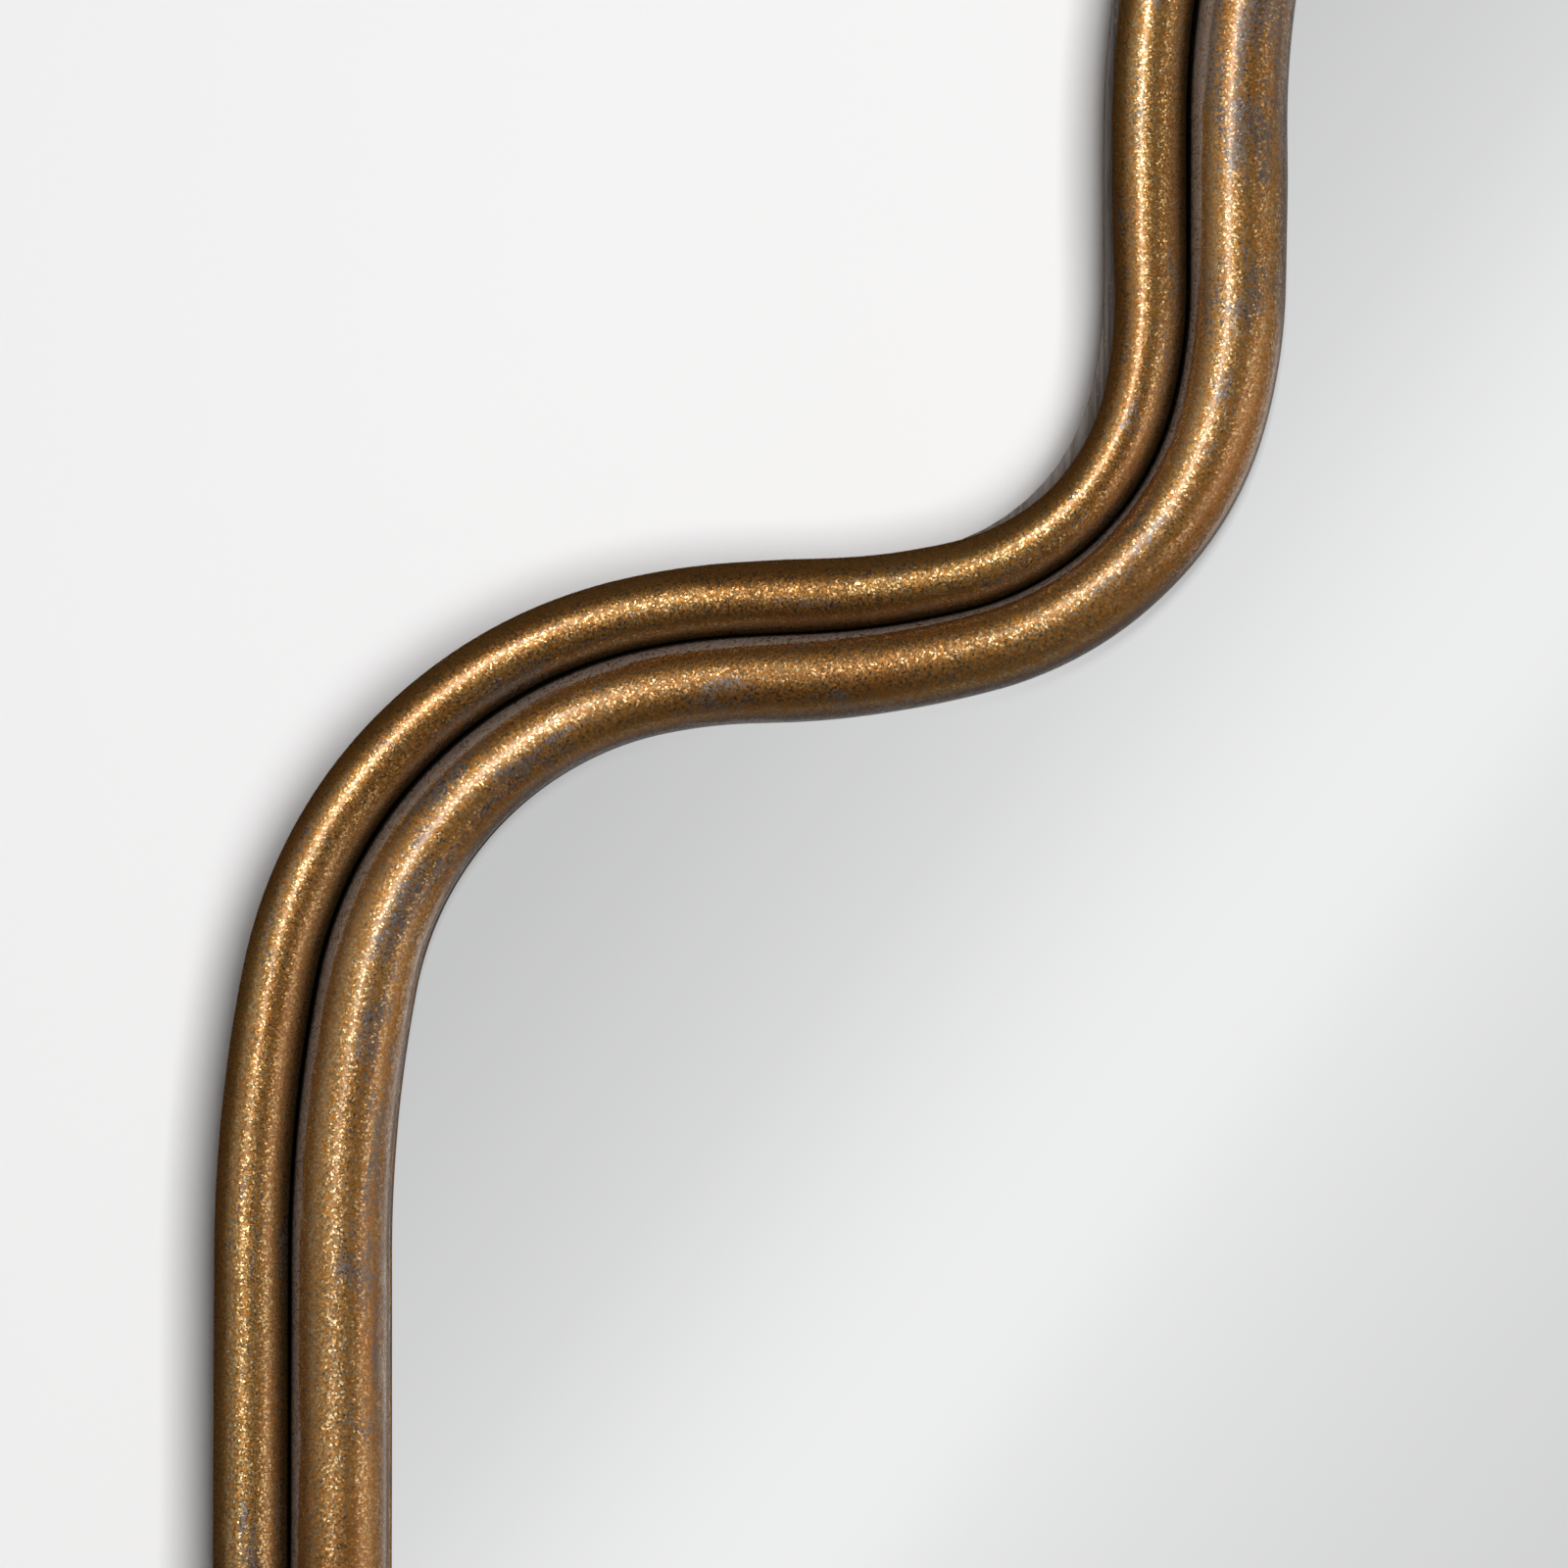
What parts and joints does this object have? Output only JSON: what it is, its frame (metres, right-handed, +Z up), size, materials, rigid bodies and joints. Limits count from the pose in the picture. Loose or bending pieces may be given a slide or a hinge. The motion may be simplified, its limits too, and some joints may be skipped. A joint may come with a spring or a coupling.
{
  "type": "scalloped wall mirror",
  "caption": "Wall mirror with a lobed, notched outline, framed by two bent round tubes side by side in a rubbed antique gold finish.",
  "frame": {"origin": "centre of the backing board's rear face", "axes": "+Z up as it hangs, +X to the right as seen by someone who looks in it, -Y out of the glass towards the room, +Y towards the wall"},
  "size_m": [0.711, 0.038, 1.016],
  "materials": {
    "gilded_tube": "gold leaf rubbed through to a brown-grey ground, satin",
    "frame_plate": "brown-grey ground coat, little gold",
    "mirror_glass": "silvered float glass with a polished edge",
    "tape": "white foam tape",
    "board": "bare fibreboard with a dark painted edge",
    "zinc_steel": "bright zinc plating",
    "bumper": "matt black rubber"
  },
  "bodies": {
    "mirror": {"outer_tube_left": "gilded_tube", "outer_tube_right": "gilded_tube", "inner_tube_left": "gilded_tube", "inner_tube_right": "gilded_tube", "frame_plate_upper": "frame_plate", "frame_plate_lower": "frame_plate", "mirror_glass": "mirror_glass", "mounting_tape_1": "tape", "mounting_tape_2": "tape", "mounting_tape_3": "tape", "mounting_tape_4": "tape", "mounting_tape_5": "tape", "backing_board": "board", "board_screws": "zinc_steel", "hanger_strap_left": "zinc_steel", "hanger_strap_right": "zinc_steel", "hanger_screws": "zinc_steel", "bumpers": "bumper"},
    "left_ring": {"hanger_ring_left": "zinc_steel"},
    "right_ring": {"hanger_ring_right": "zinc_steel"}
  },
  "joints": [
    {"name": "left_ring_hinge", "type": "hinge", "parent": "mirror", "child": "left_ring", "pos_m": [-0.235, 0.00276, 0.23479], "axis": [-1, 0, 0], "range_deg": [0, 175]},
    {"name": "right_ring_hinge", "type": "hinge", "parent": "mirror", "child": "right_ring", "pos_m": [0.235, 0.00276, 0.23479], "axis": [-1, 0, 0], "range_deg": [0, 175]}
  ]
}
